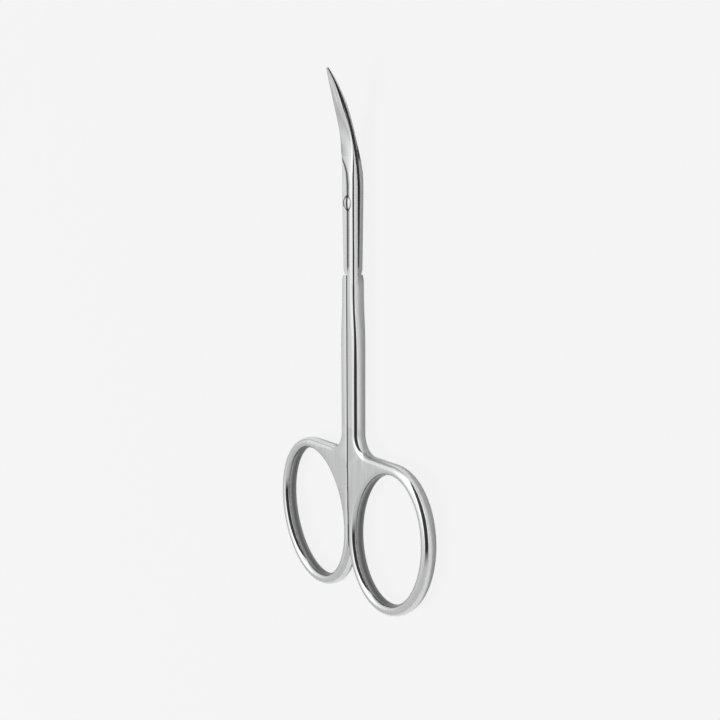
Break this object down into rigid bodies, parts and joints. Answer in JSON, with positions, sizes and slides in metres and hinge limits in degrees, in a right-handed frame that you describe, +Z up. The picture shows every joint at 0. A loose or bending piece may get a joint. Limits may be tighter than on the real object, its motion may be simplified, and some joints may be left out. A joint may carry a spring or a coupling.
{
  "type": "cuticle scissors",
  "caption": "Small polished steel cuticle scissors with curved tapering blades, a slotted pivot screw and oval finger rings; they open on the screw to trim skin and nails.",
  "frame": {"origin": "halfway along the closed pair, on the seam between the halves, in the plane that the pair rests on", "axes": "+X towards the ring of the front half, +Y along the seam towards the blade tips, +Z up out of the front face, the way the blades curve"},
  "size_m": [0.045, 0.0924, 0.0065],
  "materials": {
    "polished_steel": "stainless steel, mirror polished with a finely ground web and flats",
    "screw_steel": "stainless steel, turned and polished"
  },
  "bodies": {
    "rear": {"rear_half": "polished_steel", "pivot_screw": "screw_steel"},
    "front": {"front_half": "polished_steel"}
  },
  "joints": [
    {"name": "pivot", "type": "hinge", "parent": "rear", "child": "front", "pos_m": [0, 0.02388, 0.00135], "axis": [0, 0, 1], "range_deg": [0, 60]}
  ]
}
